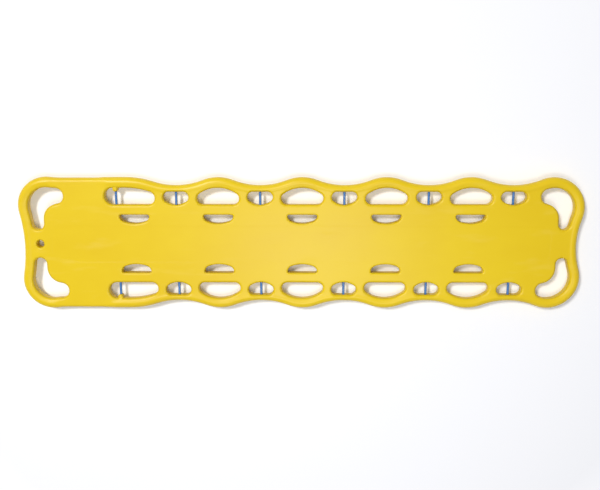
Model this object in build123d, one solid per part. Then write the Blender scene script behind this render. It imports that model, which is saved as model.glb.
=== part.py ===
from build123d import *
import os
from math import cos, radians, sin, sqrt, tan

# Spine board: one hollow moulding filled with foam, stiffened by two rods, with strap pins across
# the small openings beside its handholds.
# Frame: X runs along the board with the head end at -X, Y across it with the patient's left at +Y,
# Z up. The origin is on the floor under the middle of the board. Millimetres throughout.

# Overall sizes
board_length = 1830.0
board_height = 50.0  # floor to the crest of the rail
rail_underside = 14.0  # floor to the lowest line of the rail
crest_rise = 2.0  # crest of the rail above the lying surface, and below the underside

# Rail that runs all the way round
rail_width = 33.4
crest_slope_angle = 20.0  # of the slope from the crest down to the lying surface
rail_lap = 6.7  # how far the panel reaches into the rail's section

# Wavy long sides: a peak at each handhold, a valley at each strap pin
pin_pitch = 271.5
peak_half_width = 216.8
valley_half_width = 191.2
peak_radius = 137.0

# Head end, with the straight stretch that takes the head strap
head_half_width = 218.5
head_corner_radius = 96.0
head_waist = 13.0  # how far the middle of the end lies inside its corners
strap_flat_half_width = 215.4
ease_radius = 320.0
shoulder_half_width = 217.2
shoulder_radius = 282.0
shoulder_straight = 55.0
crest_ramp_radius = 600.0  # long ramps where the crest sinks into the strap flat

# Foot end
foot_half_width = 216.7
foot_corner_radius = 102.0
foot_waist = 18.5

# Openings beside the rail, measured across the board from its middle
handhold_flat = 129.0
handhold_half_length = 68.0
pin_opening_flat = 171.0
pin_opening_crown = 128.0
pin_opening_crown_radius = 58.0
pin_opening_half_length = 41.0
slot_flat = 96.5
slot_crown = 67.2
slot_crown_radius = 100.0
slot_half_length = 48.5
slot_side_radius = 22.0
slot_corner_radius = 6.0
head_opening_length = 161.6
head_pin_from_wave = 194.4  # first pin of the wave to the pin in the head opening

# Corner handholds, measured along the board from its end and across it from its middle
corner_wall = 83.0
corner_shelf = 131.0
corner_low = 47.0
corner_bend_radius = 50.0
head_corner_tip = 150.0
foot_corner_tip = 143.5

# Eased rims of the openings
grip_rim = 5.0
slot_rim = 3.0
pin_opening_rim = 6.0

# Hand-over hole in the head end
hole_radius = 12.5
hole_from_end = 67.0

# Strap pins, and the stubs that carry the two head pins on the rail side
pin_radius = 4.0
pin_embed = 11.0
seat_clearance = 0.1
stub_base = 24.0
stub_tip = 14.0
stub_height = 26.0
stub_edge = 4.0

# Foam core in the hollow of the panel, between the two rows of slots
skin = 4.0
core_clearance = 0.25
core_from_end = 105.0
core_corner_radius = 30.0

# Runners under the board
runner_width = 18.0
runner_taper = 45.0
runner_from_end = 128.0
runner_edge = 3.0

# Stiffening rods
rod_radius = 5.5
rod_from_end = 150.0
rod_clearance = 0.1

# Plugs that close the filling hole and the vent in the underside
plug_radius = 9.0
plug_flange_radius = 13.0
plug_flange = 1.5
plug_from_middle = 450.0

# Places worked out from the sizes above
stations = ["head", "shoulder", "chest", "hip", "thigh", "foot"]
head_x = -board_length / 2
foot_x = board_length / 2
panel_top = board_height - crest_rise
panel_under = rail_underside + crest_rise
middle_z = (panel_top + panel_under) / 2
rail_radius = rail_width / 2
runner_y = (slot_flat + slot_rim + handhold_flat - grip_rim) / 2
rod_z = panel_under + 1.5
rod_length = board_length - 2 * rod_from_end
pin_inner = pin_opening_crown - pin_embed
pin_outer = pin_opening_flat + pin_embed
hollow_low = panel_under + skin
hollow_high = panel_top - skin
hollow_half_width = slot_crown - slot_rim - skin


def leg(slope, other_leg):
    """Leg of a right triangle, such as the step along the board between two touching circles."""
    return sqrt(slope**2 - other_leg**2)


def waist_radius(corner_y, corner_radius, waist):
    """Radius of the hollow curve of a board end that runs into both of its corners."""
    return (corner_y**2 + waist**2) / (2 * waist) - corner_radius


wave_depth = peak_half_width - valley_half_width
valley_radius = ((pin_pitch / 2) ** 2 + wave_depth**2) / (2 * wave_depth) - peak_radius
valley_y = valley_half_width + valley_radius
peak_y = peak_half_width - peak_radius
foot_corner_x = foot_x - foot_corner_radius
foot_corner_y = foot_half_width - foot_corner_radius
foot_run = leg(valley_radius + foot_corner_radius, valley_y - foot_corner_y)
last_pin_x = foot_corner_x - foot_run
wave_pins = [last_pin_x - pin_pitch * i for i in reversed(range(len(stations) - 1))]
handholds = [x + pin_pitch / 2 for x in wave_pins[:-1]]
slots = [wave_pins[0] - pin_pitch / 2] + handholds
head_pin_x = wave_pins[0] - head_pin_from_wave
shoulder_y = shoulder_half_width - shoulder_radius
shoulder_run = leg(valley_radius + shoulder_radius, valley_y - shoulder_y)
shoulder_x = wave_pins[0] - shoulder_run
shoulder_start = shoulder_x - shoulder_straight
ease_y = strap_flat_half_width + ease_radius
head_corner_x = head_x + head_corner_radius
head_corner_y = head_half_width - head_corner_radius
ease_run = leg(head_corner_radius + ease_radius, ease_y - head_corner_y)
strap_flat_start = head_corner_x + ease_run
strap_flat_end = shoulder_start - leg(
    shoulder_radius + ease_radius, ease_y - shoulder_y
)


def head_circles(inset):
    """Circles of the head end: the hollow end curve, the corner and the ease into the side."""
    radius = waist_radius(head_corner_y, head_corner_radius, head_waist)
    return [
        (Vector(head_x + head_waist - radius, 0), radius + inset),
        (Vector(head_corner_x, head_corner_y), head_corner_radius - inset),
        (Vector(strap_flat_start, ease_y), ease_radius + inset),
    ]


def foot_circles(inset):
    """Circles of the foot end: the hollow end curve and the corner."""
    radius = waist_radius(foot_corner_y, foot_corner_radius, foot_waist)
    return [
        (Vector(foot_x - foot_waist + radius, 0), radius + inset),
        (Vector(foot_corner_x, foot_corner_y), foot_corner_radius - inset),
    ]


def wave_circles(inset):
    """Circles of the wavy side: the shoulder, then valleys and peaks in turn up to the last pin."""
    circles = [(Vector(shoulder_x, shoulder_y), shoulder_radius - inset)]
    for x in wave_pins:
        circles.append((Vector(x, valley_y), valley_radius + inset))
        circles.append((Vector(x + pin_pitch / 2, peak_y), peak_radius - inset))
    return circles[:-1]


def arc(centre, start, end):
    """Arc of under half a turn about centre."""
    middle = ((start + end) / 2 - centre).normalized()
    return ThreePointArc(start, centre + middle * (start - centre).length, end)


def towards(circle, other):
    """Point of a circle on the line from its centre to another point."""
    centre, radius = circle
    return centre + (other - centre).normalized() * radius


def run(circles, start, end):
    """Arcs that pass from one touching circle to the next, between two points."""
    points = [start]
    points += [towards(a, b[0]) for a, b in zip(circles, circles[1:])]
    points.append(end)
    return [arc(circle[0], p, q) for circle, p, q in zip(circles, points, points[1:])]


def outline(inset):
    """Wire of the board's outline, moved inwards by inset.

    Every bend is a circle that touches the next one, so an inset only changes the radii.
    """
    ease = (Vector(strap_flat_end, ease_y), ease_radius + inset)
    bend = (Vector(shoulder_start, shoulder_y), shoulder_radius - inset)
    wave = wave_circles(inset) + foot_circles(inset)[::-1]
    head_middle = Vector(head_x + head_waist + inset, 0)
    foot_middle = Vector(foot_x - foot_waist - inset, 0)
    flat_start = Vector(strap_flat_start, strap_flat_half_width - inset)
    flat_end = Vector(strap_flat_end, strap_flat_half_width - inset)
    level_start = Vector(shoulder_start, shoulder_half_width - inset)
    level_end = Vector(shoulder_x, shoulder_half_width - inset)
    edges = [
        *run(head_circles(inset), head_middle, flat_start),
        Line(flat_start, flat_end),
        *run([ease, bend], flat_end, level_start),
        Line(level_start, level_end),
        *run(wave, level_end, foot_middle),
    ]
    return Wire(edges + [edge.mirror(Plane.XZ) for edge in edges])


def cap_radius(tip, line, radius):
    """Radius of an opening's round end, which touches a straight side and a large circle.

    tip and line are the distances from the large circle's centre to the end of the opening and to
    its straight side. A negative radius puts the round end outside the large circle.
    """
    lean = line - tip + radius
    root = sqrt(lean**2 - tip**2 - line**2 + radius**2)
    return root - lean if radius > 0 else -root - lean


def d_shape(x, flat, crown, crown_radius, half_length):
    """D-shaped opening: a straight side at y = flat and a bowed side that peaks at y = crown."""
    side = 1 if crown > flat else -1
    bow = (Vector(x, crown - side * crown_radius), crown_radius)
    cap = cap_radius(half_length, side * (flat - bow[0].Y), crown_radius)
    ends = []
    for end in (1, -1):
        centre = Vector(x + end * (half_length - cap), flat + side * cap)
        ends.append(arc(centre, Vector(centre.X, flat), towards(bow, centre)))
    right, left = ends
    bow_arc = arc(bow[0], right @ 1, left @ 1)
    return Face(Wire([right, bow_arc, left, Line(left @ 0, right @ 0)]))


def handhold_shape(x):
    crown = peak_half_width - rail_width
    crown_radius = peak_radius - rail_width
    return d_shape(x, handhold_flat, crown, crown_radius, handhold_half_length)


def pin_opening_shape(x):
    return d_shape(
        x,
        pin_opening_flat,
        pin_opening_crown,
        pin_opening_crown_radius,
        pin_opening_half_length,
    )


def slot_shape(x):
    """Strap slot: straight towards the rail with tight corners, bowed towards the middle."""
    bow = (Vector(x, slot_crown + slot_crown_radius), slot_crown_radius)
    reach = slot_half_length - slot_side_radius
    drop = leg(slot_crown_radius - slot_side_radius, reach)
    edges = []
    for end in (1, -1):
        side = (bow[0] + Vector(end * reach, -drop), slot_side_radius)
        rise = slot_flat - slot_corner_radius - side[0].Y
        out = leg(slot_side_radius - slot_corner_radius, rise)
        corner = side[0] + Vector(end * out, rise)
        edges.append(arc(corner, Vector(corner.X, slot_flat), towards(side, corner)))
        edges.append(arc(side[0], towards(side, corner), towards(bow, side[0])))
    bow_arc = arc(bow[0], edges[1] @ 1, edges[3] @ 1)
    return Face(Wire([*edges, bow_arc, Line(edges[0] @ 0, edges[2] @ 0)]))


def head_opening_shape():
    """Long opening under the shoulder of the rail: a handhold and a strap opening in one."""
    shoulder = (Vector(shoulder_x, shoulder_y), shoulder_radius - rail_width)
    high = shoulder_half_width - rail_width
    right = slots[0] + handhold_half_length
    left = right - head_opening_length
    cap = cap_radius(right - shoulder_x, handhold_flat - shoulder_y, shoulder[1])
    centre = Vector(right - cap, handhold_flat + cap)
    round_end = (high - handhold_flat) / 2
    crown_start = Vector(shoulder_x, high)
    left_high = Vector(left + round_end, high)
    left_low = Vector(left + round_end, handhold_flat)
    right_low = Vector(centre.X, handhold_flat)
    edges = [
        arc(centre, right_low, towards(shoulder, centre)),
        arc(shoulder[0], towards(shoulder, centre), crown_start),
        Line(crown_start, left_high),
        ThreePointArc(left_high, Vector(left, handhold_flat + round_end), left_low),
        Line(left_low, right_low),
    ]
    return Face(Wire(edges))


def corner_shape(end_x, tip, circles):
    """Bent handhold that follows the rail round a corner of the board.

    circles are those of the rail's inner line, from the end of the board to its long side.
    """
    inwards = 1 if end_x < 0 else -1
    wall_x = end_x + inwards * corner_wall
    tip_x = end_x + inwards * tip
    first, last = circles[0], circles[-1]
    ends_on_corner = len(circles) == 2
    low_cap = cap_radius(abs(wall_x - first[0].X), corner_low, -first[1])
    far_cap = cap_radius(
        inwards * (tip_x - last[0].X),
        corner_shelf - last[0].Y,
        last[1] if ends_on_corner else -last[1],
    )
    low = Vector(wall_x - inwards * low_cap, corner_low + low_cap)
    far = Vector(tip_x - inwards * far_cap, corner_shelf + far_cap)
    bend_x = wall_x + inwards * corner_bend_radius
    bend_drop = leg(corner_bend_radius + far_cap, bend_x - far.X)
    bend = (Vector(bend_x, far.Y - bend_drop), corner_bend_radius)
    low_wall = Vector(wall_x, low.Y)
    bend_wall = Vector(wall_x, bend[0].Y)
    edges = [
        arc(low, low_wall, towards(first, low)),
        *run(circles, towards(first, low), towards(last, far)),
        arc(far, towards(last, far), towards(bend, far)),
        arc(bend[0], towards(bend, far), bend_wall),
        Line(bend_wall, low_wall),
    ]
    return Face(Wire(edges))


def both_sides(shapes):
    return shapes + [shape.mirror(Plane.XZ) for shape in shapes]


def prism(face, low, high):
    return extrude(Pos(0, 0, low) * face, amount=high - low, dir=(0, 0, 1))


head_corner = corner_shape(head_x, head_corner_tip, head_circles(rail_width))
foot_corner = corner_shape(foot_x, foot_corner_tip, foot_circles(rail_width))
grips = [handhold_shape(x) for x in handholds]
grips = both_sides(grips + [head_opening_shape(), head_corner, foot_corner])
hole = Pos(head_x + hole_from_end, 0) * Face(Wire.make_circle(hole_radius))
small_openings = both_sides([slot_shape(x) for x in slots]) + [hole]
pin_openings = both_sides([pin_opening_shape(x) for x in wave_pins])


def cut_openings(plate, faces, rim):
    """Cuts openings through the plate and eases their rims above and below."""
    plate -= [prism(face, panel_under - 1, panel_top + 1) for face in faces]
    middles = [face.bounding_box().center() for face in faces]
    rims = []
    for level in (panel_under, panel_top):
        flat = plate.faces().filter_by_position(Axis.Z, level - 0.1, level + 0.1)[0]
        for wire in flat.inner_wires():
            place = wire.bounding_box().center() - Vector(0, 0, level)
            if any((place - middle).length < 1 for middle in middles):
                rims += wire.edges()
    return chamfer(rims, rim)


def rail():
    """Solid bar round the whole board, round outside and sloping to the panel inside."""
    lean = radians(crest_slope_angle)
    high = board_height - rail_radius - middle_z
    slope_start = Vector(rail_radius * sin(lean), high + rail_radius * cos(lean))
    inner = rail_radius - rail_lap
    slope_end = Vector(inner, slope_start.Y - (inner - slope_start.X) * tan(lean))
    top = [
        arc(Vector(0, high), Vector(-rail_radius, high), slope_start),
        Line(slope_start, slope_end),
    ]
    under = [edge.mirror(Plane.XZ) for edge in top]
    outer_side = Line(under[0] @ 0, top[0] @ 0)
    inner_side = Line(top[1] @ 1, under[1] @ 1)
    section = Face(Wire([*top, inner_side, *under, outer_side]))
    start = Plane(
        origin=(head_x + head_waist + rail_radius, 0, middle_z),
        x_dir=(1, 0, 0),
        z_dir=(0, -1, 0),
    )
    return sweep(start * section, path=Pos(0, 0, middle_z) * outline(rail_radius))


def pin_opening_cutters():
    """Cutters for the pin openings, which widen above and below and bite into the rail."""
    shape = pin_opening_shape(0)
    flare = extrude(
        Pos(0, 0, board_height - pin_opening_rim) * shape,
        amount=pin_opening_rim + 1,
        dir=(0, 0, 1),
        taper=-45,
    )
    under = flare.mirror(Plane.XY.offset(middle_z))
    cutter = prism(shape, panel_under, panel_top) + flare + under
    return both_sides([Pos(x, 0, 0) * cutter for x in wave_pins])


def crest_cutters():
    """Cutters that sink the rail's crest into the panel along the strap flats."""
    rise = crest_rise + 1
    reach = leg(crest_ramp_radius, crest_ramp_radius - rise)
    start = Vector(strap_flat_start, 0, panel_top)
    end = Vector(strap_flat_end, 0, panel_top)
    centre_up = Vector(0, 0, crest_ramp_radius)
    start_up = start + Vector(-reach, 0, rise)
    end_up = end + Vector(reach, 0, rise)
    profile = Wire(
        [
            Line(start, end),
            arc(end + centre_up, end, end_up),
            Line(end_up, start_up),
            arc(start + centre_up, start_up, start),
        ]
    )
    inner = strap_flat_half_width - rail_width
    cutter = extrude(Pos(0, inner, 0) * Face(profile), amount=2 * rail_width, dir=(0, 1, 0))
    return both_sides([cutter])


def stub():
    """Tapered stub under the rail of the head opening, which carries the head pin."""
    root = shoulder_half_width - rail_radius
    plan = Polyline(
        (-stub_base / 2, root),
        (-stub_tip / 2, pin_opening_flat),
        (stub_tip / 2, pin_opening_flat),
        (stub_base / 2, root),
        close=True,
    )
    low = middle_z - stub_height / 2
    block = prism(Face(Wire(plan.edges())), low, low + stub_height)
    edges = [edge for edge in block.edges() if edge.center().Y < root - 1]
    return Pos(head_pin_x, 0, 0) * chamfer(edges, stub_edge)


def runner():
    """Skid under the band between the slots and the handholds, with sloping ends."""
    end = board_length / 2 - runner_from_end
    side = Polyline(
        (-end, 0, panel_under + 1),
        (-end, 0, panel_under),
        (-end + runner_taper, 0, 0),
        (end - runner_taper, 0, 0),
        (end, 0, panel_under),
        (end, 0, panel_under + 1),
        close=True,
    )
    face = Face(Wire(side.edges()))
    low_y = runner_y - runner_width / 2
    bar = extrude(Pos(0, low_y, 0) * face, amount=runner_width, dir=(0, 1, 0))
    edges = [
        edge
        for edge in bar.edges()
        if edge.center().Z < panel_under and abs(edge.center().Y - runner_y) > 1
    ]
    return chamfer(edges, runner_edge)


def pin_bar(x, side, clearance):
    """Round bar across a pin opening, as the strap pin itself or, with clearance, as its seat."""
    length = pin_outer - pin_inner + 2 * clearance
    middle = side * (pin_outer + pin_inner) / 2
    return Pos(x, middle, middle_z) * Rot(90, 0, 0) * Cylinder(pin_radius + clearance, length)


def rod(side, clearance):
    """Stiffening rod in the root of a runner or, with clearance, the bore that it lies in."""
    length = rod_length + 2 * clearance
    bar = Rot(0, 90, 0) * Cylinder(rod_radius + clearance, length)
    return Pos(0, side * runner_y, rod_z) * bar


def core(clearance):
    """Block of foam in the panel; a clearance of zero gives the hollow that it fills."""
    length = board_length - 2 * (core_from_end + clearance)
    width = 2 * (hollow_half_width - clearance)
    plan = RectangleRounded(length, width, core_corner_radius - clearance)
    return prism(plan.face(), hollow_low + clearance, hollow_high - clearance)


def plug(x, clearance):
    """Flush plug in the underside or, with clearance, the stepped hole that it closes."""
    flange_top = panel_under + plug_flange + clearance
    low = panel_under - clearance
    flange = prism(Circle(plug_flange_radius + clearance).face(), low, flange_top)
    stem = prism(Circle(plug_radius + clearance).face(), low, hollow_low)
    return Pos(x, 0, 0) * (flange + stem)


def board_shell():
    """The one-piece moulding: panel, rail, openings, stubs and runners, hollow in its panel."""
    plate = prism(Face(outline(rail_radius)), panel_under, panel_top)
    plate = cut_openings(plate, grips, grip_rim)
    plate = cut_openings(plate, small_openings, slot_rim)
    board = plate + rail()
    board -= pin_opening_cutters()
    board -= crest_cutters()
    board += both_sides([stub(), runner()])
    board -= [pin_bar(x, side, seat_clearance) for x in pin_xs for side in sides.values()]
    board -= [rod(side, rod_clearance) for side in sides.values()]
    board -= [core(0), *(plug(x, seat_clearance) for x in plug_xs.values())]
    return board


sides = {"left": 1, "right": -1}
pin_xs = [head_pin_x, *wave_pins]
plug_xs = {"fill_plug": -plug_from_middle, "vent_plug": plug_from_middle}

nodes = {"board_shell": board_shell(), "foam_core": core(core_clearance)}
for name, side in sides.items():
    nodes[f"stiffener_rod_{name}"] = rod(side, 0)
    for station, x in zip(stations, pin_xs):
        nodes[f"strap_pin_{station}_{name}"] = pin_bar(x, side, 0)
for name, x in plug_xs.items():
    nodes[name] = plug(x, 0)

os.makedirs("parts", exist_ok=True)
for name, solid in nodes.items():
    export_step(solid, f"parts/{name}.step")
    print(name, round(solid.volume))
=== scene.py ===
# %% [markdown]
# A spine board is a rigid stretcher for rescue work. The real one is moulded in a single piece of
# polyethylene, with a rail all the way round and blue pins that strap clips snap on to. The CAD
# model has its shapes already, so this lesson keeps every CAD piece, gives each one a finish, and
# sets up the floor, the light and the camera of a plain studio photograph.

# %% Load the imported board
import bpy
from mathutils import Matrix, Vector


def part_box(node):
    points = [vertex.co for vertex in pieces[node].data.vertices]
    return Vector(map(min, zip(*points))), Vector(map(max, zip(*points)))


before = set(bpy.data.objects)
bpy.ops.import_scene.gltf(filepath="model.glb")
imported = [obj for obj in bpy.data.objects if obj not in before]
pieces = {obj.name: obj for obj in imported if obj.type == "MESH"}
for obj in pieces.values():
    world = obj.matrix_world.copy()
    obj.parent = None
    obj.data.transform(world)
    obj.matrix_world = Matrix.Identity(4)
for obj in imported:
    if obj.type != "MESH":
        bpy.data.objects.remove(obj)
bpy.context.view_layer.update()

from math import pi, radians

import bpy
from mathutils import Vector

low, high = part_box("board_shell")
print("pieces:", len(pieces))
print("board size in metres:", [round(side, 4) for side in high - low])

# %% [markdown]
# The photograph looks almost straight down, from a little beyond the board's left side. A camera
# in Blender looks along its own -Z, so a small turn about X is enough to aim it. The focal length
# in pixels becomes a lens by comparing the picture's width with the width of the sensor.

# %% Camera
picture_width = 600
focal_pixels = 708.3
sensor_width = 36.0
camera_place = (0.016, 0.463, 2.3)
camera_degrees = (-11.67, 0.45, -0.04)

camera_data = bpy.data.cameras.new("camera")
camera_data.sensor_width = sensor_width
camera_data.lens = focal_pixels / picture_width * sensor_width
camera = bpy.data.objects.new("camera", camera_data)
camera.location = camera_place
camera.rotation_euler = [radians(degrees) for degrees in camera_degrees]
bpy.context.scene.collection.objects.link(camera)
bpy.context.scene.camera = camera
print("lens:", round(camera_data.lens, 2), "mm")

# %% [markdown]
# Materials, the world and geometry tools are all graphs of nodes, and graphs written link by link
# are hard to read. Two small classes help. Value wraps one output socket, so that maths on it is
# written as plain maths. Graph makes any node, from its type, its settings and its sockets.

# %% Values and graphs
class Value:
    """An output socket that takes part in plain maths."""

    def __init__(self, graph, socket):
        self.graph = graph
        self.socket = socket

    def maths(self, operation, other):
        settings = {"operation": operation}
        return self.graph.node("ShaderNodeMath", settings, {0: self, 1: other})

    def __add__(self, other):
        return self.maths("ADD", other)

    def __mul__(self, other):
        return self.maths("MULTIPLY", other)

    __radd__ = __add__
    __rmul__ = __mul__


class Graph:
    """A tree of nodes."""

    def __init__(self, tree):
        self.tree = tree

    def node(self, kind, settings=None, sockets=None, output=0):
        """Makes a node: its settings first, then the values or links of its sockets."""
        node = self.tree.nodes.new(kind)
        for name, value in (settings or {}).items():
            if name == "stops":
                for stop, (place, shade) in zip(node.color_ramp.elements, value):
                    stop.position = place
                    stop.color = (shade, shade, shade, 1)
            else:
                setattr(node, name, value)
        for name, value in (sockets or {}).items():
            self.feed(node.inputs[name], value)
        return Value(self, node.outputs[output])

    def feed(self, socket, value):
        """Links a Value to a socket, or sets the socket to a plain number or colour."""
        if isinstance(value, Value):
            self.tree.links.new(value.socket, socket)
        else:
            socket.default_value = value

    def end(self, kind, value):
        """Makes the graph's last node, which passes the value on."""
        self.feed(self.tree.nodes.new(kind).inputs[0], value)


print("helpers:", Value.__name__, "and", Graph.__name__)

# %% [markdown]
# A finish is a graph on Blender's Principled shader. Most of what varies over a moulding is noise,
# so a finish has a short call for noise and for the three things that are done with it: to turn it
# into a mask, to blend two colours by it, and to make it into the relief of the surface. The Bevel
# node in that relief shades every edge as if it were rounded, as moulded edges are.

# %% Finishes
bevel_samples = 8


class Finish(Graph):
    """One procedural material on a Principled shader."""

    def __init__(self, name):
        self.material = bpy.data.materials.new(name)
        self.material.use_nodes = True
        super().__init__(self.material.node_tree)
        self.shader = self.tree.nodes["Principled BSDF"]

    def set(self, **sockets):
        """Feeds the shader's own sockets, whose names take _ for a space."""
        for name, value in sockets.items():
            self.feed(self.shader.inputs[name.replace("_", " ")], value)

    def noise(self, scale, detail, squeeze=(1, 1, 1)):
        """Noise over the object's own metres. A squeeze below 1 draws it out along that axis."""
        place = self.node("ShaderNodeTexCoord", output="Object")
        place = self.node("ShaderNodeMapping", {}, {"Vector": place, "Scale": squeeze})
        sockets = {"Vector": place, "Scale": scale, "Detail": detail}
        return self.node("ShaderNodeTexNoise", {}, sockets)

    def mask(self, value, start, end):
        """0 below start and 1 above end, with a straight ramp between."""
        stops = [(start, 0), (end, 1)]
        return self.node("ShaderNodeValToRGB", {"stops": stops}, {"Fac": value})

    def mix(self, share, first, second):
        """Blend of two colours. The Mix node's colour sockets have numbers, not names."""
        sockets = {0: share, 6: first, 7: second}
        return self.node("ShaderNodeMix", {"data_type": "RGBA"}, sockets, output=2)

    def surface(self, height, strength, depth, edge_radius):
        """Feeds the normal: fine relief on top of edges that look rounded by edge_radius."""
        round_edges = self.node(
            "ShaderNodeBevel", {"samples": bevel_samples}, {"Radius": edge_radius}
        )
        sockets = {
            "Strength": strength,
            "Distance": depth,
            "Height": height,
            "Normal": round_edges,
        }
        self.set(Normal=self.node("ShaderNodeBump", {}, sockets))


print("helper:", Finish.__name__)

# %% [markdown]
# Moulded polyethylene is dyed all through, so its colour hardly varies. What makes it look real is
# a satin gloss, the fine orange-peel of the mould's blasted surface, broad waves where the plastic
# shrank on the foam, and faint scuffs that dull it. Each of these is a noise of its own scale, and
# the scuffs are drawn out along the board, the way it slides. The plugs are of the same plastic in
# a slightly warmer batch.

# %% Moulded plastic of the board and its plugs
deep_yellow = (0.80, 0.550, 0.001, 1)
pale_yellow = (0.84, 0.600, 0.003, 1)
plug_deep_yellow = (0.80, 0.50, 0.002, 1)
plug_pale_yellow = (0.84, 0.55, 0.006, 1)
scuffed_yellow = (0.93, 0.72, 0.16, 1)
broad_share = 0.6
wave_share = 0.4
scuff_tint = 0.12
board_satin = 0.32
wave_dulling = 0.05
peel_dulling = 0.05
scuff_dulling = 0.08
peel_height = 0.55
grain_height = 0.2
wave_height = 2.5


def moulded_plastic(name, deep, pale):
    finish = Finish(name)
    broad = finish.noise(scale=2.6, detail=3)
    waves = finish.noise(scale=11, detail=2, squeeze=(0.6, 1, 1))
    peel = finish.noise(scale=520, detail=2)
    grain = finish.noise(scale=1900, detail=1)
    streaks = finish.noise(scale=34, detail=6, squeeze=(0.25, 1, 1))
    scuffs = finish.mask(streaks, start=0.58, end=0.72)
    tone = finish.mask(broad_share * broad + wave_share * waves, start=0.35, end=0.65)
    colour = finish.mix(tone, deep, pale)
    finish.set(Base_Color=finish.mix(scuff_tint * scuffs, colour, scuffed_yellow))
    dulling = wave_dulling * waves + peel_dulling * peel + scuff_dulling * scuffs
    finish.set(Roughness=board_satin + dulling, IOR=1.5, Specular_IOR_Level=0.4)
    relief = peel_height * peel + grain_height * grain + wave_height * waves
    finish.surface(relief, strength=0.22, depth=0.0004, edge_radius=0.008)
    return finish.material


shell_plastic = moulded_plastic("moulded_skin", deep_yellow, pale_yellow)
plug_plastic = moulded_plastic("plug_plastic", plug_deep_yellow, plug_pale_yellow)
print("made", shell_plastic.name, "and", plug_plastic.name)

# %% [markdown]
# The strap pins are smooth moulded rods, glossier than the board. Clips that are pulled on and off
# leave fine rings round them, so the noise is squeezed along the pin's own direction, which is Y.

# %% Blue plastic of the strap pins
deep_blue = (0.030, 0.135, 0.40, 1)
light_blue = (0.055, 0.20, 0.52, 1)
worn_blue = (0.16, 0.32, 0.62, 1)
worn_tint = 0.18
pin_satin = 0.24
worn_dulling = 0.16
cloud_height = 0.5


def pin_plastic():
    finish = Finish("strap_pin_plastic")
    cloud = finish.noise(scale=38, detail=3)
    rings = finish.noise(scale=60, detail=4, squeeze=(1, 14, 1))
    worn = finish.mask(rings, start=0.5, end=0.75)
    colour = finish.mix(cloud, deep_blue, light_blue)
    finish.set(Base_Color=finish.mix(worn_tint * worn, colour, worn_blue))
    finish.set(Roughness=pin_satin + worn_dulling * worn, IOR=1.5)
    relief = rings + cloud_height * cloud
    finish.surface(relief, strength=0.2, depth=0.0002, edge_radius=0.0006)
    return finish.material


blue_plastic = pin_plastic()
print("made", blue_plastic.name)

# %% [markdown]
# The foam core and the rods are out of sight inside the moulding. They still get procedural
# finishes, so that the part is complete for someone who opens it up: cells in the foam, and the
# long fibres of a pultruded rod, which run along X.

# %% Foam and rods
foam_cell = (0.80, 0.72, 0.50, 1)
foam_wall = (0.92, 0.87, 0.70, 1)
resin = (0.02, 0.02, 0.022, 1)
fibre_grey = (0.07, 0.07, 0.075, 1)
cell_density = 700.0
foam_satin = 0.75
cell_dulling = 0.15
rod_satin = 0.35
fibre_dulling = 0.2


def core_foam():
    finish = Finish("foam_cells")
    place = finish.node("ShaderNodeTexCoord", output="Object")
    cells = finish.node("ShaderNodeTexVoronoi", {}, {"Vector": place, "Scale": cell_density})
    finish.set(Base_Color=finish.mix(cells, foam_cell, foam_wall))
    finish.set(Roughness=foam_satin + cell_dulling * cells)
    finish.surface(cells, strength=0.6, depth=0.0006, edge_radius=0.001)
    return finish.material


def rod_fibre():
    finish = Finish("rod_fibre")
    fibres = finish.noise(scale=900, detail=3, squeeze=(0.02, 1, 1))
    finish.set(Base_Color=finish.mix(fibres, resin, fibre_grey))
    finish.set(Roughness=rod_satin + fibre_dulling * fibres)
    finish.surface(fibres, strength=0.3, depth=0.0002, edge_radius=0.0005)
    return finish.material


foam = core_foam()
fibre_rod = rod_fibre()
print("made", foam.name, "and", fibre_rod.name)

# %% [markdown]
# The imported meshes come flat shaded, face by face. A small geometry nodes graph joins their
# points and shades them smooth, except across edges that are sharper than an angle. It is a
# modifier, so the CAD mesh itself stays as it was packed.

# %% Smooth shading
join_distance = 1e-5
sharp_angle = radians(32)


def smooth_by_angle():
    tree = bpy.data.node_groups.new("smooth_by_angle", "GeometryNodeTree")
    for side in ("INPUT", "OUTPUT"):
        tree.interface.new_socket("Geometry", in_out=side, socket_type="NodeSocketGeometry")
    graph = Graph(tree)
    mesh = graph.node("NodeGroupInput")
    sockets = {"Geometry": mesh, "Distance": join_distance}
    mesh = graph.node("GeometryNodeMergeByDistance", {}, sockets)
    sockets = {"Geometry": mesh, "Shade Smooth": True}
    mesh = graph.node("GeometryNodeSetShadeSmooth", {"domain": "FACE"}, sockets)
    fold = graph.node("GeometryNodeInputMeshEdgeAngle", output="Unsigned Angle")
    sockets = {"A": fold, "B": sharp_angle}
    sharp = graph.node("FunctionNodeCompare", {"operation": "GREATER_THAN"}, sockets)
    sockets = {"Geometry": mesh, "Selection": sharp, "Shade Smooth": False}
    mesh = graph.node("GeometryNodeSetShadeSmooth", {"domain": "EDGE"}, sockets)
    graph.end("NodeGroupOutput", mesh)
    return tree


smooth_tree = smooth_by_angle()
print("made", smooth_tree.name)

# %% [markdown]
# Each CAD piece takes the finish of its kind, which its name starts with. After the smooth
# shading, a Weighted Normal modifier lets the large flat faces keep their own direction, so that
# only the narrow ones beside them look bent.

# %% Dress the pieces
finishes = {
    "board_shell": shell_plastic,
    "fill_plug": plug_plastic,
    "vent_plug": plug_plastic,
    "foam_core": foam,
    "stiffener_rod": fibre_rod,
    "strap_pin": blue_plastic,
}
for name, piece in pieces.items():
    kind = next(start for start in finishes if name.startswith(start))
    piece.data.materials.clear()
    piece.data.materials.append(finishes[kind])
    piece.modifiers.new("smooth", "NODES").node_group = smooth_tree
    piece.modifiers.new("weighted", "WEIGHTED_NORMAL").keep_sharp = True
print("dressed", len(pieces), "pieces")
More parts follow.
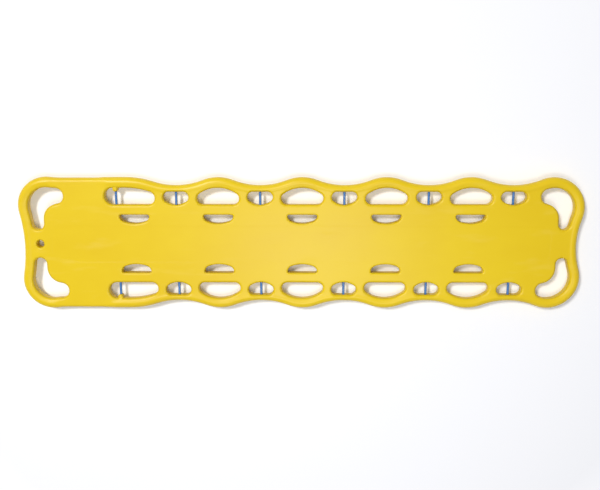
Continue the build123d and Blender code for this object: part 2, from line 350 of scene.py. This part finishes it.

# %% [markdown]
# The board lies on a sheet of white paper. Here it is one flat face, so wide that its edges are
# far away from the camera.

# %% Floor
floor_half = 14.0
corners = [(-1, -1), (1, -1), (1, 1), (-1, 1)]
floor_mesh = bpy.data.meshes.new("floor")
floor_mesh.from_pydata([(x * floor_half, y * floor_half, 0) for x, y in corners], [], [range(4)])
floor = bpy.data.objects.new("floor", floor_mesh)
bpy.context.scene.collection.objects.link(floor)
print("floor:", 2 * floor_half, "metres wide")

# %% [markdown]
# The paper's own white and the plain light bring it close to pure white, and for camera rays alone
# a faint glow takes it the rest of the way, so the board's shadow stays. Away from the board the
# glow grows until the floor meets the white of the world. From below the paper is clear, so that
# the underside can be looked at.

# %% Finish of the floor
paper_white = (0.955, 0.955, 0.96, 1)
fibre_white = (0.965, 0.965, 0.97, 1)
near_glow = 0.09
far_glow = 0.92
fade_start = 1.3
fade_end = 3.2

paper = Finish("floor_paper")
paper.set(Base_Color=paper.mix(paper.noise(scale=3, detail=4), paper_white, fibre_white))
paper.set(Roughness=0.9, Specular_IOR_Level=0.0)
place = paper.node("ShaderNodeTexCoord", output="Object")
away = paper.node("ShaderNodeVectorMath", {"operation": "LENGTH"}, {0: place}, output="Value")
sockets = {"Value": away, "From Min": fade_start, "From Max": fade_end}
fade = paper.node("ShaderNodeMapRange", {}, sockets)
seen = paper.node("ShaderNodeLightPath", output="Is Camera Ray")
paper.set(Emission_Color=(near_glow + far_glow * fade) * seen, Emission_Strength=1.0)
below = paper.node("ShaderNodeNewGeometry", output="Backfacing")
lit = Value(paper, paper.shader.outputs["BSDF"])
clear = paper.node("ShaderNodeBsdfTransparent")
shown = paper.node("ShaderNodeMixShader", {}, {0: below, 1: lit, 2: clear})
paper.feed(paper.tree.nodes["Material Output"].inputs["Surface"], shown)
floor.data.materials.append(paper.material)
print("made", paper.material.name)

# %% [markdown]
# Three soft sources light the board. One is the world, in the next step. A large lamp stands
# beyond the head end on the board's left and throws the shadow. A softbox overhead, a little to
# the board's right, lays a pale sheen along the middle of the panel. A lamp's power follows from
# how bright it makes a white floor, its distance and its slant.

# %% Lamps
def softbox(name, place, size, brightness, colour):
    """Area lamp aimed at the board that brings a white floor there to the given brightness."""
    offset = Vector(place)
    slant = offset.normalized().z
    data = bpy.data.lights.new(name, "AREA")
    data.shape = "SQUARE"
    data.size = size
    data.energy = brightness * pi**2 * offset.length_squared / slant
    data.color = colour
    lamp = bpy.data.objects.new(name, data)
    lamp.location = offset
    lamp.rotation_euler = offset.to_track_quat("Z", "Y").to_euler()
    bpy.context.scene.collection.objects.link(lamp)
    print(name, "power", round(data.energy, 1), "W")


softbox("key_lamp", place=(-2.9, 2.9, 6.7), size=1.2, brightness=0.54, colour=(1.0, 0.99, 0.98))
softbox("sheen_lamp", place=(0.05, -0.60, 2.9), size=0.9, brightness=0.26, colour=(1.0, 1.0, 1.0))

# %% [markdown]
# The world fills the shadow from all round with a slightly lavender light, which is what tints it.
# What the camera sees beyond the floor, and what a glossy or clear surface shows of the studio,
# should be plain white instead. Light Path tells those three kinds of ray apart. Added up, they
# choose between the two backgrounds, and Mix Shader holds the sum at 1.

# %% World
fill_colour = (0.82, 0.86, 1.0, 1)
fill_strength = 0.26
studio_white = (1, 1, 1, 1)

world = bpy.data.worlds.new("studio")
world.use_nodes = True
world.node_tree.nodes.clear()
bpy.context.scene.world = world
studio = Graph(world.node_tree)
fill = studio.node("ShaderNodeBackground", {}, {"Color": fill_colour, "Strength": fill_strength})
white = studio.node("ShaderNodeBackground", {}, {"Color": studio_white, "Strength": 1.0})
camera_ray = studio.node("ShaderNodeLightPath", output="Is Camera Ray")
glossy_ray = studio.node("ShaderNodeLightPath", output="Is Glossy Ray")
clear_ray = studio.node("ShaderNodeLightPath", output="Is Transmission Ray")
sockets = {0: camera_ray + glossy_ray + clear_ray, 1: fill, 2: white}
studio.end("ShaderNodeOutputWorld", studio.node("ShaderNodeMixShader", {}, sockets))
bpy.context.scene.view_settings.view_transform = "Standard"
print("world:", world.name)
